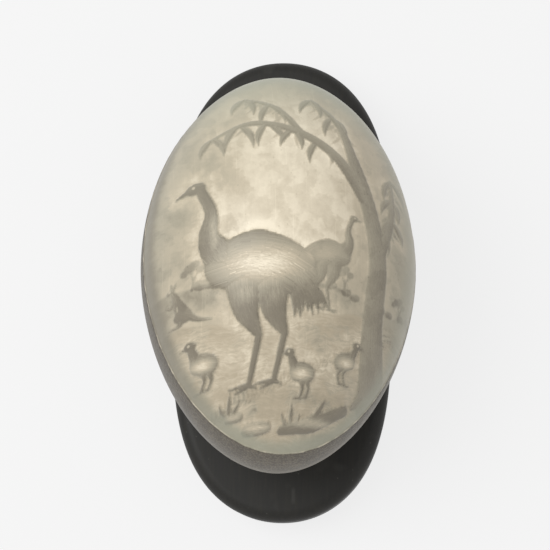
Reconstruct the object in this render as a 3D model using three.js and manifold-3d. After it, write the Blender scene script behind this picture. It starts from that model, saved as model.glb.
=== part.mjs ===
// A carved emu egg lying on its side in the dished seat of an oval base.
// Millimetres, +Z up. The origin is at the middle of the base's underside, and the
// egg's long axis runs along Y, with its narrower end towards -Y.
import * as THREE from 'three';
import { mergeVertices } from 'three/addons/utils/BufferGeometryUtils.js';
import Module from 'manifold-3d';

const wasm = await Module();
wasm.setup();

// The egg
const EGG_LENGTH = 132;
const EGG_WIDTH = 90.7;
const EGG_ROUNDNESS = 1.913; // exponent of its outline, 2 is an ellipse
const EGG_TAPER = 0.03; // share by which the -Y end is slimmer and the +Y end is fuller

// The carving: everything above one flat cut across the egg is taken down to a paler layer
const PANEL_HEIGHT = 6.1; // of the cut above the egg's middle
const PANEL_ROLL = 8.2; // degrees, the cut faces a little towards +X
const PANEL_PITCH = 9.5; // degrees, and a little towards +Y
const GROUND_DEPTH = 0.7; // of the carved ground below the shell's outer face
const FAR_DEPTH = 0.4; // of the tree and what stands far off
const NEAR_DEPTH = 0.15; // of the birds in front

// The base
const BASE_LENGTH = 161.5;
const BASE_WIDTH = 76.6;
const BASE_HEIGHT = 20;
const BASE_SIDE_POWER = 2.06; // exponents of its plan, across and along
const BASE_END_POWER = 3.5;
const BASE_TOP_ROUND = 4.5;
const BASE_FOOT_EASE = 1.2;
const SEAT_DEPTH = 9; // how far the egg sinks below the top of the base
const SEAT_CLEARANCE = 0.3;

// How finely the curves are cut into faces
const EGG_SIDES = 36;
const EGG_STEPS = 22;
const BASE_SIDES = 44;
const ROUND_STEPS = 3;
const OVAL_SIDES = 10;
const LIMB_STEPS = 2;
const BODY_STEPS = 4;
const LEAF_STEPS = 4;

const HALF_LENGTH = EGG_LENGTH / 2;
const HALF_WIDTH = EGG_WIDTH / 2;
const EGG_CENTRE_Z = BASE_HEIGHT - SEAT_DEPTH + HALF_WIDTH;

// The picture's layout. Places and heights are shares of the egg's half length, measured
// from the picture's middle; facing is 1 towards +X and -1 towards -X.
const PICTURE_MIDDLE = { x: 0, y: -0.05 }; // from the middle of the panel
const EMU_IN_FRONT = { x: -0.16, y: -0.64, height: 1.0, facing: -1 };
const EMU_BEHIND = { x: 0.18, y: -0.3, height: 0.47, facing: 1 };
const CHICKS = [
  { x: -0.39, y: -0.61, height: 0.22, facing: -1 },
  { x: 0.07, y: -0.67, height: 0.21, facing: -1 },
  { x: 0.28, y: -0.6, height: 0.19, facing: 1 },
];
const KANGAROO = { x: -0.51, y: -0.32, height: 0.2, facing: -1 };
const STONES = [
  { x: -0.13, y: -0.79, width: 0.15, height: 0.055 },
  { x: -0.24, y: -0.74, width: 0.09, height: 0.04 },
];
const FALLEN_BOUGH = [
  { path: [[-0.01, -0.8], [0.14, -0.77], [0.3, -0.7]], thick: [0.02, 0.034, 0.022] },
  { path: [[0.14, -0.76], [0.19, -0.68]], thick: [0.016, 0.008] },
];
const TUFTS = [{ x: -0.265, y: -0.735 }, { x: 0.03, y: -0.795 }];
const BLADE = { count: 3, length: 0.1, width: 0.018, fan: 76, bend: 0.16 };
const GUM_TREE = {
  trunk: { path: [[0.45, -0.66], [0.42, -0.34], [0.44, -0.03], [0.39, 0.24], [0.32, 0.47]],
    thick: [0.085, 0.057, 0.048, 0.041, 0.03] },
  roots: [
    { path: [[0.45, -0.6], [0.53, -0.69]], thick: [0.052, 0.012] },
    { path: [[0.43, -0.6], [0.34, -0.68]], thick: [0.05, 0.01] },
  ],
  boughs: [
    { path: [[0.39, 0.24], [0.23, 0.47], [0.03, 0.6], [-0.18, 0.65], [-0.36, 0.59]],
      thick: [0.036, 0.026, 0.02, 0.014, 0.006] },
    { path: [[0.44, -0.03], [0.52, 0.21], [0.53, 0.42]], thick: [0.03, 0.021, 0.009] },
    { path: [[0.32, 0.47], [0.26, 0.66], [0.13, 0.81]], thick: [0.028, 0.018, 0.007] },
    { path: [[0.06, 0.59], [-0.05, 0.74], [-0.2, 0.82]], thick: [0.018, 0.013, 0.006] },
  ],
};
// The first share of a bough is bare. Leaves hang in pairs, each turned outwards by the
// spread, and the pairs differ by a sway in degrees and a share of their length.
const LEAF = { length: 0.135, width: 0.034, bend: 0.14, spacing: 0.125, bare: 0.28,
  spread: 26, sway: 9, variety: 0.12 };

// One closed mesh, its shared vertices merged, as a solid
function solid(geometry) {
  const plain = new THREE.BufferGeometry();
  plain.setAttribute('position', geometry.getAttribute('position'));
  if (geometry.index) plain.setIndex(geometry.index);
  const merged = mergeVertices(plain, 1e-5);
  return new wasm.Manifold(new wasm.Mesh({
    numProp: 3,
    vertProperties: new Float32Array(merged.getAttribute('position').array),
    triVerts: new Uint32Array(merged.index.array),
  }));
}

function joined(solids) {
  return solids.reduce((all, one) => all.add(one));
}

function geometryOf(body) {
  const mesh = body.getMesh();
  const geometry = new THREE.BufferGeometry();
  geometry.setAttribute('position', new THREE.BufferAttribute(mesh.vertProperties, 3));
  geometry.setIndex(new THREE.BufferAttribute(mesh.triVerts, 1));
  geometry.computeVertexNormals();
  return geometry;
}

// The egg's form, its surface moved inwards by an inset
function egg(inset) {
  const halfLength = HALF_LENGTH - inset;
  const halfWidth = HALF_WIDTH - inset;
  const profile = [];
  for (let step = 0; step <= EGG_STEPS; step += 1) {
    const angle = (Math.PI * step) / EGG_STEPS;
    const along = -Math.sign(Math.cos(angle)) * Math.abs(Math.cos(angle)) ** (2 / EGG_ROUNDNESS);
    const out = Math.sin(angle) ** (2 / EGG_ROUNDNESS) * (1 + EGG_TAPER * along);
    const onAxis = step === 0 || step === EGG_STEPS;
    profile.push(new THREE.Vector2(onAxis ? 0 : out * halfWidth, along * halfLength));
  }
  const geometry = new THREE.LatheGeometry(profile, EGG_SIDES);
  return solid(geometry.translate(0, 0, EGG_CENTRE_Z));
}

// Puts what is drawn on the panel, with its up along Z, where the panel lies on the egg
function onPanel(geometry) {
  const lift = new THREE.Vector3(0, 0, EGG_CENTRE_Z + PANEL_HEIGHT);
  const turn = new THREE.Euler(
    THREE.MathUtils.degToRad(-PANEL_PITCH), THREE.MathUtils.degToRad(PANEL_ROLL), 0, 'YXZ');
  const place = new THREE.Matrix4().makeRotationFromEuler(turn).setPosition(lift);
  return solid(geometry.applyMatrix4(place));
}

function abovePanel() {
  const side = 2 * EGG_LENGTH;
  return onPanel(new THREE.BoxGeometry(side, side, side).translate(0, 0, side / 2));
}

// A prism that stands on the panel, from an outline in shares of the half length
function prism(outline) {
  const shape = new THREE.Shape(outline.map(([x, y]) => (
    new THREE.Vector2(PICTURE_MIDDLE.x + x, PICTURE_MIDDLE.y + y))));
  const geometry = new THREE.ExtrudeGeometry(shape, { depth: 1, bevelEnabled: false });
  return onPanel(geometry.scale(HALF_LENGTH, HALF_LENGTH, HALF_LENGTH));
}

// A figure is a list of outlines. These helpers draw in the figure's own frame, with its
// feet at 0 and its height as 1, and put the outline at its place in the picture.
function placedAt({ x, y, height, facing }) {
  return (outline) => outline.map(([u, v]) => [x + facing * u * height, y + v * height]);
}

function oval([x, y], [across, up], tilt = 0) {
  const turn = THREE.MathUtils.degToRad(tilt);
  return Array.from({ length: OVAL_SIDES }, (_, side) => {
    const angle = (2 * Math.PI * side) / OVAL_SIDES;
    const u = across * Math.cos(angle);
    const v = up * Math.sin(angle);
    return [x + u * Math.cos(turn) - v * Math.sin(turn), y + u * Math.sin(turn) + v * Math.cos(turn)];
  });
}

// A limb follows a smooth line and has a half thickness at each of the line's points
function limb(path, thick, steps = LIMB_STEPS) {
  const curve = new THREE.CatmullRomCurve3(path.map(([x, y]) => new THREE.Vector3(x, y, 0)),
    false, 'centripetal');
  const count = path.length === 2 ? 1 : (path.length - 1) * steps;
  const left = [];
  const right = [];
  for (let step = 0; step <= count; step += 1) {
    const t = step / count;
    const at = curve.getPoint(t);
    const ahead = curve.getTangent(t);
    const place = t * (path.length - 1);
    const from = Math.min(Math.floor(place), path.length - 2);
    const half = THREE.MathUtils.lerp(thick[from], thick[from + 1], place - from);
    const end = step === 0 ? -1 : Number(step === count);
    left.push([at.x - ahead.y * half, at.y + ahead.x * half]);
    right.push([at.x + ahead.y * half, at.y - ahead.x * half]);
    if (end !== 0) left.push([at.x + end * ahead.x * half, at.y + end * ahead.y * half]);
  }
  left.splice(0, 2, left[1], left[0]);
  return [...right, ...left.reverse()];
}

// A leaf or a feather: a lens that bends to one side
function leaf([x, y], angle, length, width, bend) {
  const turn = THREE.MathUtils.degToRad(angle);
  const place = (along, aside) => [
    x + along * Math.cos(turn) - aside * Math.sin(turn),
    y + along * Math.sin(turn) + aside * Math.cos(turn),
  ];
  const edge = (side) => Array.from({ length: LEAF_STEPS - 1 }, (_, step) => {
    const t = (step + 1) / LEAF_STEPS;
    const middle = 4 * bend * length * t * (1 - t);
    return place(t * length, middle + (side * width * Math.sin(Math.PI * t ** 0.8)) / 2);
  });
  return [place(0, 0), ...edge(-1), place(length, 0), ...edge(1).reverse()];
}

const PLUMES = 5;

function emu(place) {
  const legs = [
    { hip: [0.06, 0.45], knee: [0.045, 0.34], hock: [-0.015, 0.235], foot: [0.02, 0.025] },
    { hip: [-0.07, 0.45], knee: [-0.085, 0.34], hock: [-0.135, 0.24], foot: [-0.095, 0.04] },
  ];
  const toes = [[0.09, -0.012], [0.06, -0.032], [-0.035, -0.014]];
  const outlines = [
    limb([[0.14, 0.555], [0.0, 0.575], [-0.165, 0.52], [-0.265, 0.39]],
      [0.105, 0.14, 0.115, 0.02], BODY_STEPS),
    limb([[0.14, 0.56], [0.225, 0.69], [0.215, 0.82], [0.262, 0.945]],
      [0.095, 0.05, 0.029, 0.024]),
    oval([0.283, 0.962], [0.047, 0.031], -8),
    limb([[0.31, 0.958], [0.378, 0.935]], [0.017, 0.004]),
  ];
  for (let plume = 0; plume < PLUMES; plume += 1) {
    const t = plume / (PLUMES - 1);
    outlines.push(leaf([-0.13 - 0.07 * t, 0.5 - 0.02 * t], 222 + 34 * (1 - t), 0.2, 0.045, -0.1));
  }
  for (const { hip, knee, hock, foot } of legs) {
    outlines.push(limb([hip, knee, hock], [0.085, 0.056, 0.019]));
    outlines.push(limb([hock, foot], [0.019, 0.014]));
    for (const [u, v] of toes) {
      outlines.push(limb([foot, [foot[0] + u, foot[1] + v]], [0.014, 0.005]));
    }
  }
  return outlines.map(placedAt(place));
}

function chick(place) {
  return [
    oval([0, 0.5], [0.31, 0.21], 10),
    limb([[0.16, 0.56], [0.27, 0.8]], [0.13, 0.08]),
    oval([0.31, 0.89], [0.12, 0.09]),
    limb([[0.38, 0.88], [0.5, 0.84]], [0.04, 0.012]),
    limb([[0.02, 0.38], [-0.03, 0.19]], [0.08, 0.032]),
    limb([[-0.03, 0.19], [0.03, 0.0]], [0.032, 0.028]),
    limb([[-0.1, 0.38], [-0.17, 0.19]], [0.08, 0.032]),
    limb([[-0.17, 0.19], [-0.12, 0.02]], [0.032, 0.028]),
    limb([[0.02, 0.01], [0.16, -0.02]], [0.03, 0.02]),
    limb([[-0.13, 0.03], [0.01, 0.0]], [0.03, 0.02]),
  ].map(placedAt(place));
}

function kangaroo(place) {
  return [
    oval([-0.08, 0.25], [0.2, 0.17], 20),
    limb([[-0.06, 0.3], [0.05, 0.5], [0.12, 0.68], [0.18, 0.8]], [0.15, 0.115, 0.075, 0.048]),
    oval([0.235, 0.845], [0.09, 0.05], -22),
    leaf([0.17, 0.86], 108, 0.17, 0.06, 0),
    leaf([0.2, 0.87], 80, 0.16, 0.055, 0),
    limb([[0.12, 0.62], [0.21, 0.49], [0.29, 0.52]], [0.045, 0.032, 0.022]),
    limb([[0.06, 0.22], [-0.02, 0.1], [0.03, 0.035], [0.22, 0.02]], [0.08, 0.05, 0.035, 0.022]),
    limb([[-0.2, 0.2], [-0.42, 0.08], [-0.72, 0.035]], [0.09, 0.052, 0.02]),
  ].map(placedAt(place));
}

// Blades of grass that fan out from one spot, the middle ones longest
function tuft({ x, y }) {
  return Array.from({ length: BLADE.count }, (_, blade) => {
    const aside = blade / (BLADE.count - 1) - 0.5;
    return leaf([x, y], 90 - BLADE.fan * aside, BLADE.length * (1 - aside ** 2), BLADE.width,
      -BLADE.bend * aside);
  });
}

function stone({ x, y, width, height }) {
  return oval([x, y], [width / 2, height / 2], 4);
}

function leavesOf({ path }) {
  const curve = new THREE.CatmullRomCurve3(path.map(([x, y]) => new THREE.Vector3(x, y, 0)),
    false, 'centripetal');
  const leafy = curve.getLength() * (1 - LEAF.bare);
  const pairs = Math.round(leafy / LEAF.spacing);
  const leaves = [];
  for (let pair = 1; pair <= pairs; pair += 1) {
    const at = curve.getPointAt(LEAF.bare + ((1 - LEAF.bare) * pair) / pairs);
    const down = -90 + LEAF.sway * Math.sin(2.4 * pair);
    const length = LEAF.length * (1 + LEAF.variety * Math.cos(1.7 * pair));
    for (const side of [-1, 1]) {
      leaves.push(leaf([at.x, at.y], down + side * LEAF.spread, length, LEAF.width,
        side * LEAF.bend));
    }
  }
  return leaves;
}

function gumTree() {
  const wood = [GUM_TREE.trunk, ...GUM_TREE.roots, ...GUM_TREE.boughs];
  return [
    ...wood.map(({ path, thick }) => limb(path, thick)),
    ...GUM_TREE.boughs.flatMap(leavesOf),
  ];
}

// What stands between the ground and the shell's face, down to its own depth
function raised(outlines, depth) {
  return joined(outlines.map(prism)).intersect(egg(depth));
}

function carvedEgg() {
  const near = [
    ...emu(EMU_IN_FRONT),
    ...CHICKS.flatMap(chick),
    ...STONES.map(stone),
    ...FALLEN_BOUGH.map(({ path, thick }) => limb(path, thick)),
    ...TUFTS.flatMap(tuft),
  ];
  const far = [...emu(EMU_BEHIND), ...kangaroo(KANGAROO), ...gumTree()];
  return egg(0)
    .subtract(abovePanel())
    .add(egg(GROUND_DEPTH))
    .add(raised(far, FAR_DEPTH))
    .add(raised(near, NEAR_DEPTH));
}

// The plan of the base, drawn in by an inset
function basePlan(inset, z) {
  return Array.from({ length: BASE_SIDES }, (_, side) => {
    const angle = (2 * Math.PI * side) / BASE_SIDES;
    const across = Math.sign(Math.cos(angle)) * Math.abs(Math.cos(angle)) ** (2 / BASE_SIDE_POWER);
    const along = Math.sign(Math.sin(angle)) * Math.abs(Math.sin(angle)) ** (2 / BASE_END_POWER);
    return [across * (BASE_WIDTH / 2 - inset), along * (BASE_LENGTH / 2 - inset), z];
  });
}

// Rings of points, one above the other, closed by a flat face below and one on top
function stacked(rings) {
  const sides = rings[0].length;
  const corners = [...rings.flat(), [0, 0, rings[0][0][2]], [0, 0, rings.at(-1)[0][2]]];
  const bottom = corners.length - 2;
  const top = corners.length - 1;
  const faces = [];
  for (let side = 0; side < sides; side += 1) {
    const next = (side + 1) % sides;
    const lastRing = (rings.length - 1) * sides;
    faces.push(bottom, next, side);
    faces.push(top, lastRing + side, lastRing + next);
    for (let ring = 0; ring < rings.length - 1; ring += 1) {
      const low = ring * sides;
      const high = low + sides;
      faces.push(low + side, low + next, high + next, low + side, high + next, high + side);
    }
  }
  const geometry = new THREE.BufferGeometry();
  geometry.setAttribute('position', new THREE.Float32BufferAttribute(corners.flat(), 3));
  geometry.setIndex(faces);
  return solid(geometry);
}

function base() {
  const rings = [basePlan(BASE_FOOT_EASE, 0), basePlan(0, BASE_FOOT_EASE)];
  for (let step = 0; step <= ROUND_STEPS; step += 1) {
    const angle = (Math.PI / 2) * (step / ROUND_STEPS);
    rings.push(basePlan(BASE_TOP_ROUND * (1 - Math.cos(angle)),
      BASE_HEIGHT - BASE_TOP_ROUND * (1 - Math.sin(angle))));
  }
  return stacked(rings).subtract(egg(-SEAT_CLEARANCE));
}

function piece(name, body, colour, roughness) {
  const material = new THREE.MeshStandardMaterial({ color: colour, roughness, metalness: 0 });
  const mesh = new THREE.Mesh(geometryOf(body), material);
  mesh.name = name;
  return mesh;
}

const object = new THREE.Group();
object.add(piece('egg', carvedEgg(), '#c9bfa9', 0.55));
object.add(piece('stand', base(), '#2c2c2c', 0.4));

export default object;
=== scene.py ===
"""A cameo-carved emu egg on its black oval base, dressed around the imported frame.

Blender's units are metres, in the frame's own axes: +Z is up and the egg's long axis is
along Y. The picture is laid out in shares of the egg's half length, and the distances that the
carving leaves in the mesh for the finish are in millimetres.
"""

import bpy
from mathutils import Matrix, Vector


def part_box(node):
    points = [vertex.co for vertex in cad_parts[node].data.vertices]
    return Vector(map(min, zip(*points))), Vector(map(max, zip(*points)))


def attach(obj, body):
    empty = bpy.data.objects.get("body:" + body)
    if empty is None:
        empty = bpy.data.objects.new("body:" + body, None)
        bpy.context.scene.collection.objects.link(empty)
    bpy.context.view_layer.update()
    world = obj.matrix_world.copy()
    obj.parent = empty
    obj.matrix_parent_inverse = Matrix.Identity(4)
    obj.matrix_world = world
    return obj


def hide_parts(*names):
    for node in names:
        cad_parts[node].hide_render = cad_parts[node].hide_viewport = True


bl_info = {
    "name": "Carved Emu Egg",
    "version": (1, 0, 0),
    "blender": (4, 5, 0),
    "location": "View3D > Sidebar > Carved Egg",
    "description": "Builds a cameo-carved emu egg, its ebonised base and a plain studio",
    "category": "Object",
}

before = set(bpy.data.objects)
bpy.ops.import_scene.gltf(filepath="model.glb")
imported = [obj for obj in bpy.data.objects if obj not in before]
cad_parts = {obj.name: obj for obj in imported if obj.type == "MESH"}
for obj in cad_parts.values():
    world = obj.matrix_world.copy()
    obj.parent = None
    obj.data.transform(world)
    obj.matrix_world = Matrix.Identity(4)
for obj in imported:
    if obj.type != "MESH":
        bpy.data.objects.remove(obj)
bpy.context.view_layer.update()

import math

import bpy
import numpy as np
from bpy.props import FloatProperty, FloatVectorProperty, IntProperty, PointerProperty
from bpy.types import Operator, Panel, PropertyGroup
from mathutils import Euler, Matrix, Vector

MM = 0.001
TURN = 2 * math.pi
BODY = "root"

egg_low, egg_high = (Vector(corner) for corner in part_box("egg"))
stand_low, stand_high = (Vector(corner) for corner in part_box("stand"))
EGG_HALF_LENGTH = (egg_high.y - egg_low.y) / 2
EGG_HALF_WIDTH = -egg_low.x
EGG_CENTRE_HEIGHT = egg_low.z + EGG_HALF_WIDTH


def linear(hex_colour):
    """A colour written as on a paint card, in the linear values that shaders take."""
    parts = [int(hex_colour[at:at + 2], 16) / 255 for at in (0, 2, 4)]
    return [part / 12.92 if part <= 0.04045 else ((part + 0.055) / 1.055) ** 2.4 for part in parts]


def length(name, description, default):
    return FloatProperty(name=name, description=description, default=default,
                         unit="LENGTH", precision=5)


def share(name, description, default):
    return FloatProperty(name=name, description=description, default=default)


def angle(name, description, degrees):
    return FloatProperty(name=name, description=description, default=math.radians(degrees),
                         subtype="ANGLE")


def colour(name, description, hex_colour):
    return FloatVectorProperty(name=name, description=description, default=linear(hex_colour),
                               subtype="COLOR", size=3, min=0, max=1)


class EggSettings(PropertyGroup):
    half_length: length("Half length", "Half of the egg's long axis", EGG_HALF_LENGTH)
    half_width: length("Half width", "Half of the egg's width", EGG_HALF_WIDTH)
    centre_height: length("Centre height", "Height of the egg's middle", EGG_CENTRE_HEIGHT)
    roundness: share("Roundness", "Exponent of the egg's outline, 2 is an ellipse", 1.913)
    taper: share("Taper", "Share by which the +Y end is fuller", 0.03)
    columns: IntProperty(name="Columns", description="Faces round the egg", default=360)
    rows: IntProperty(name="Rows", description="Faces from end to end", default=274)
    crowding: share("Crowding", "How far the columns gather under the carving", 0.45)
    pit_colour: colour("Pits", "Uncarved shell between its granules", "4e483e")
    granule_colour: colour("Granules", "Raised granules of the uncarved shell", "71695a")
    # Painted sheen: the paler colour of the band where the egg is widest and turns from view.
    sheen_band_colour: colour("Sheen band", "Painted sheen where the egg is widest", "898274")
    shell_roughness: share("Shell roughness", "Of the uncarved shell", 0.5)
    bloom: share("Bloom", "How far the egg brightens softly towards its outline", 0.09)
    bloom_roughness: share("Bloom roughness", "How widely that brightening spreads", 0.35)


class CarvingSettings(PropertyGroup):
    panel_height: length("Panel height", "Height of the cut above the egg's middle", 6.1 * MM)
    panel_roll: angle("Panel roll", "How far the cut faces +X", 8.2)
    panel_pitch: angle("Panel pitch", "How far the cut faces +Y", 9.5)
    ground_depth: length("Ground depth", "Of the carved ground below the shell", 0.7 * MM)
    border_depth: length("Border depth", "Of the shallow border inside the cut", 0.35 * MM)
    far_depth: length("Far depth", "Of the tree and the far animals", 0.4 * MM)
    near_depth: length("Near depth", "Of the birds in front", 0.15 * MM)
    border_width: length("Border width", "Of the shallow border inside the cut", 4.6 * MM)
    faint_depth: length("Faint depth", "Of grass, far trees and small leaves", 0.58 * MM)
    near_colour: colour("Outer layer", "Layer that the birds in front are left in", "7e7666")
    far_colour: colour("Middle layer", "Layer that the tree is left in", "9e9683")
    ground_colour: colour("Inner layer", "Layer that the ground is cut down to", "bcb099")
    pale_colour: colour("Palest layer", "Deepest cuts, beside the figures", "e8ddc6")
    earth_colour: colour("Earth", "Warm brown of the foreground", "a3967f")
    border_colour: colour("Border", "Grey-green of the shallow border", "969785")
    carved_roughness: share("Carved roughness", "Of the scraped surface", 0.45)


class StandSettings(PropertyGroup):
    side_power: share("Side power", "Exponent of the plan across", 2.06)
    end_power: share("End power", "Exponent of the plan along", 3.5)
    top_round: length("Top round", "Radius of the rounded top edge", 4.5 * MM)
    foot_ease: length("Foot ease", "Bevel at the underside", 1.2 * MM)
    seat_clearance: length("Seat clearance", "Gap between the seat and the egg", 0.3 * MM)
    lip: length("Seat lip", "Rounding of the seat's edge", 0.7 * MM)
    sides: IntProperty(name="Sides", description="Faces round the base", default=256)
    wood_colour: colour("Ebonised wood", "Black stain", "1d1c19")
    grain_colour: colour("Grain", "Where the stain is thin", "282620")
    dust_and_streak_colour: colour("Pale marks", "Dust and rubbed spots", "7b7b74")
    pale_streak_right: length("Streak place", "How far right of the middle the long streak lies", 4.5 * MM)
    roughness: share("Roughness", "Satin wax finish", 0.55)
    sheen: share("Sheen", "Strength of the wax's reflection, 0.5 is that of glass", 0.34)


class StudioSettings(PropertyGroup):
    distance: length("Distance", "Camera to the egg's middle", 0.70)
    elevation: angle("Elevation", "Camera above the horizon, from the -Y side", 82.2)
    lean: angle("Lean", "Camera's lean towards +X", 1.9)
    roll: angle("Roll", "How far the camera is turned about its view", 0.45)
    frame_pixels: share("Frame", "Side of the square picture in pixels", 550.0)
    pixels_per_mm: share("Scale", "Picture's pixels a millimetre at the egg's middle", 3.03)
    egg_right: share("Egg right", "Pixels that the egg's middle lies right of the centre", 3.3)
    egg_above: share("Egg above", "Pixels that the egg's middle lies above the centre", 1.32)
    floor_colour: colour("Floor", "Plain pale floor", "f4f4f4")
    floor_size: length("Floor size", "Side of the floor", 6.0)
    floor_glow: share("Floor glow", "Share of its brightness that the floor gives by itself", 0.87)
    sky: share("Sky", "Strength of the even light all round", 0.70)
    key: share("Key", "Power of the soft light on the left, in watts", 6.5)
    window_size: length("Window size", "Across the soft light", 0.7)
    window_place: FloatVectorProperty(
        name="Window place", description="From the egg's middle to the soft light",
        default=(-0.55, 0.12, 0.92), subtype="TRANSLATION", size=3)


# The picture's layout, as shares of the egg's half length from the picture's middle.
# Facing is 1 towards +X and -1 towards -X.
PICTURE_MIDDLE = (0, -0.05)
EMU_IN_FRONT = dict(x=-0.16, y=-0.64, height=1.0, facing=-1)
EMU_BEHIND = dict(x=0.18, y=-0.3, height=0.47, facing=1)
CHICKS = [
    dict(x=-0.39, y=-0.61, height=0.22, facing=-1),
    dict(x=0.07, y=-0.67, height=0.21, facing=-1),
    dict(x=0.28, y=-0.6, height=0.19, facing=1),
]
KANGAROO = dict(x=-0.51, y=-0.32, height=0.2, facing=-1)
STONES = [
    dict(x=-0.13, y=-0.79, width=0.15, height=0.055),
    dict(x=-0.24, y=-0.74, width=0.09, height=0.04),
]
FALLEN_BOUGH = [
    ([(-0.01, -0.8), (0.14, -0.77), (0.3, -0.7)], [0.02, 0.034, 0.022]),
    ([(0.14, -0.76), (0.19, -0.68)], [0.016, 0.008]),
]
TUFTS = [(-0.265, -0.735), (0.03, -0.795)]
SKYLINE = (-0.2, [(0.045, 3.3, 2.4), (0.016, 9.1, 0.5), (0.006, 31.0, 1.0)])
FORELAND = (-0.32, [(0.022, 4.7, 0.2), (0.01, 13.0, 2.0), (0.004, 47.0, 0.0)])
FAR_TREES = [(-0.46, 0.13), (0.02, 0.11), (0.26, 0.12), (0.57, 0.1)]
GOLDEN = 0.6180339887
BUSH = dict(count=26, size=0.014, variety=0.012, flatness=1.5)
BARE_SKYLINE = (KANGAROO["x"] - 0.06, 0.1)  # no bush within this reach of the kangaroo
BLADE = dict(count=3, length=0.1, width=0.018, fan=76, bend=0.16)
GRASS = dict(count=34, leans=(-32, -14, 3, 17, 36), sway=9, width=0.009)
TRUNK = ([(0.45, -0.66), (0.42, -0.34), (0.44, -0.03), (0.39, 0.24), (0.32, 0.47)],
         [0.085, 0.057, 0.048, 0.041, 0.03])
ROOTS = [
    ([(0.45, -0.6), (0.53, -0.69)], [0.052, 0.012]),
    ([(0.43, -0.6), (0.34, -0.68)], [0.05, 0.01]),
]
BOUGHS = [
    ([(0.39, 0.24), (0.23, 0.47), (0.03, 0.6), (-0.18, 0.65), (-0.36, 0.59)],
     [0.036, 0.026, 0.02, 0.014, 0.006]),
    ([(0.44, -0.03), (0.52, 0.21), (0.53, 0.42)], [0.03, 0.021, 0.009]),
    ([(0.32, 0.47), (0.26, 0.66), (0.13, 0.81)], [0.028, 0.018, 0.007]),
    ([(0.06, 0.59), (-0.05, 0.74), (-0.2, 0.82)], [0.018, 0.013, 0.006]),
]
LEAF = dict(length=0.135, width=0.034, bend=0.14, spacing=0.125, bare=0.28,
            spread=26, sway=9, variety=0.12)
SPRAY = dict(count=22, bare=0.3, length=0.075, variety=0.035, width=0.017, bend=0.12, spread=52)


# A figure is a list of limbs: a smooth line of points with a half thickness at each. It is
# drawn facing +X, with its feet at 0 and its height as 1.

def limb(path, thick, per_span=5):
    """The line through the path's points, smoothed, with its half thickness all along."""
    path = np.array(path, float)
    thick = np.array(thick, float)
    if len(path) == 2:
        return path, thick
    ends = np.vstack([2 * path[0] - path[1], path, 2 * path[-1] - path[-2]])
    points = []
    halves = []
    for span in range(len(path) - 1):
        before, start, end, after = ends[span:span + 4]
        for t in np.arange(per_span) / per_span:
            bend = 2 * before - 5 * start + 4 * end - after
            twist = 3 * start - before - 3 * end + after
            points.append(start + 0.5 * ((end - before) * t + bend * t ** 2 + twist * t ** 3))
            halves.append(thick[span] * (1 - t) + thick[span + 1] * t)
    return np.array([*points, path[-1]]), np.array([*halves, thick[-1]])


def oval(middle, half_sizes, tilt=0.0):
    """An oval as one fat limb, tapered round at both ends."""
    across, up = half_sizes
    turn = math.radians(tilt)
    t = np.linspace(-1, 1, 13)
    halves = up * np.sqrt(np.clip(1 - (t * (across - up) / max(across, up)) ** 2, 0.2, 1))
    reach = max(across - up, 1e-4) * t
    points = np.stack([middle[0] + reach * math.cos(turn), middle[1] + reach * math.sin(turn)], 1)
    return points, halves


def leaf(base, degrees, size, width, bend):
    """A leaf or a feather: a lens that bends to one side."""
    turn = math.radians(degrees)
    t = np.linspace(0, 1, 8)
    ahead = np.array([math.cos(turn), math.sin(turn)])
    aside = np.array([-ahead[1], ahead[0]])
    sway = 4 * bend * size * t * (1 - t)
    points = np.array(base) + np.outer(t * size, ahead) + np.outer(sway, aside)
    return points, width / 2 * np.sin(np.pi * np.clip(t, 0.03, 0.985) ** 0.8)


def placed(limbs, x, y, height, facing):
    """A figure put at its place in the picture, at its height there."""
    spot = np.array([x, y])
    scale = np.array([facing * height, height])
    return [(spot + points * scale, halves * height) for points, halves in limbs]


def emu():
    legs = [((0.06, 0.45), (0.045, 0.34), (-0.015, 0.235), (0.02, 0.025)),
            ((-0.07, 0.45), (-0.085, 0.34), (-0.135, 0.24), (-0.095, 0.04))]
    toes = [(0.09, -0.012), (0.06, -0.032), (-0.035, -0.014)]
    limbs = [
        limb([(0.14, 0.555), (0, 0.575), (-0.165, 0.52), (-0.265, 0.39)],
             [0.105, 0.14, 0.115, 0.02]),
        limb([(0.14, 0.56), (0.225, 0.69), (0.215, 0.82), (0.262, 0.945)],
             [0.095, 0.05, 0.029, 0.024]),
        oval((0.283, 0.962), (0.047, 0.031), -8),
        limb([(0.31, 0.958), (0.378, 0.935)], [0.017, 0.004]),
    ]
    for number, t in enumerate(np.linspace(0, 1, 13)):
        size = 0.2 * (1 - 0.22 * (number % 3 == 1) - 0.1 * (number % 2))
        limbs.append(leaf((-0.13 - 0.07 * t, 0.5 - 0.02 * t), 222 + 34 * (1 - t), size, 0.04,
                          -0.1 - 0.05 * math.sin(2.6 * number)))
    for hip, knee, hock, foot in legs:
        limbs.append(limb([hip, knee, hock], [0.085, 0.056, 0.019]))
        limbs.append(limb([hock, foot], [0.017, 0.013]))
        for u, v in toes:
            limbs.append(limb([foot, (foot[0] + u, foot[1] + v)], [0.014, 0.005]))
    return limbs


def chick():
    limbs = [
        oval((0, 0.5), (0.31, 0.21), 10),
        limb([(0.16, 0.56), (0.27, 0.8)], [0.13, 0.08]),
        oval((0.31, 0.89), (0.12, 0.09)),
        limb([(0.38, 0.88), (0.5, 0.84)], [0.04, 0.012]),
    ]
    for hip, hock, foot, toe in [((0.02, 0.38), (-0.03, 0.19), (0.03, 0), (0.16, -0.02)),
                                 ((-0.1, 0.38), (-0.17, 0.19), (-0.12, 0.02), (0.01, 0))]:
        limbs.append(limb([hip, hock], [0.08, 0.032]))
        limbs.append(limb([hock, foot], [0.032, 0.028]))
        limbs.append(limb([foot, toe], [0.03, 0.02]))
    return limbs


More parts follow.
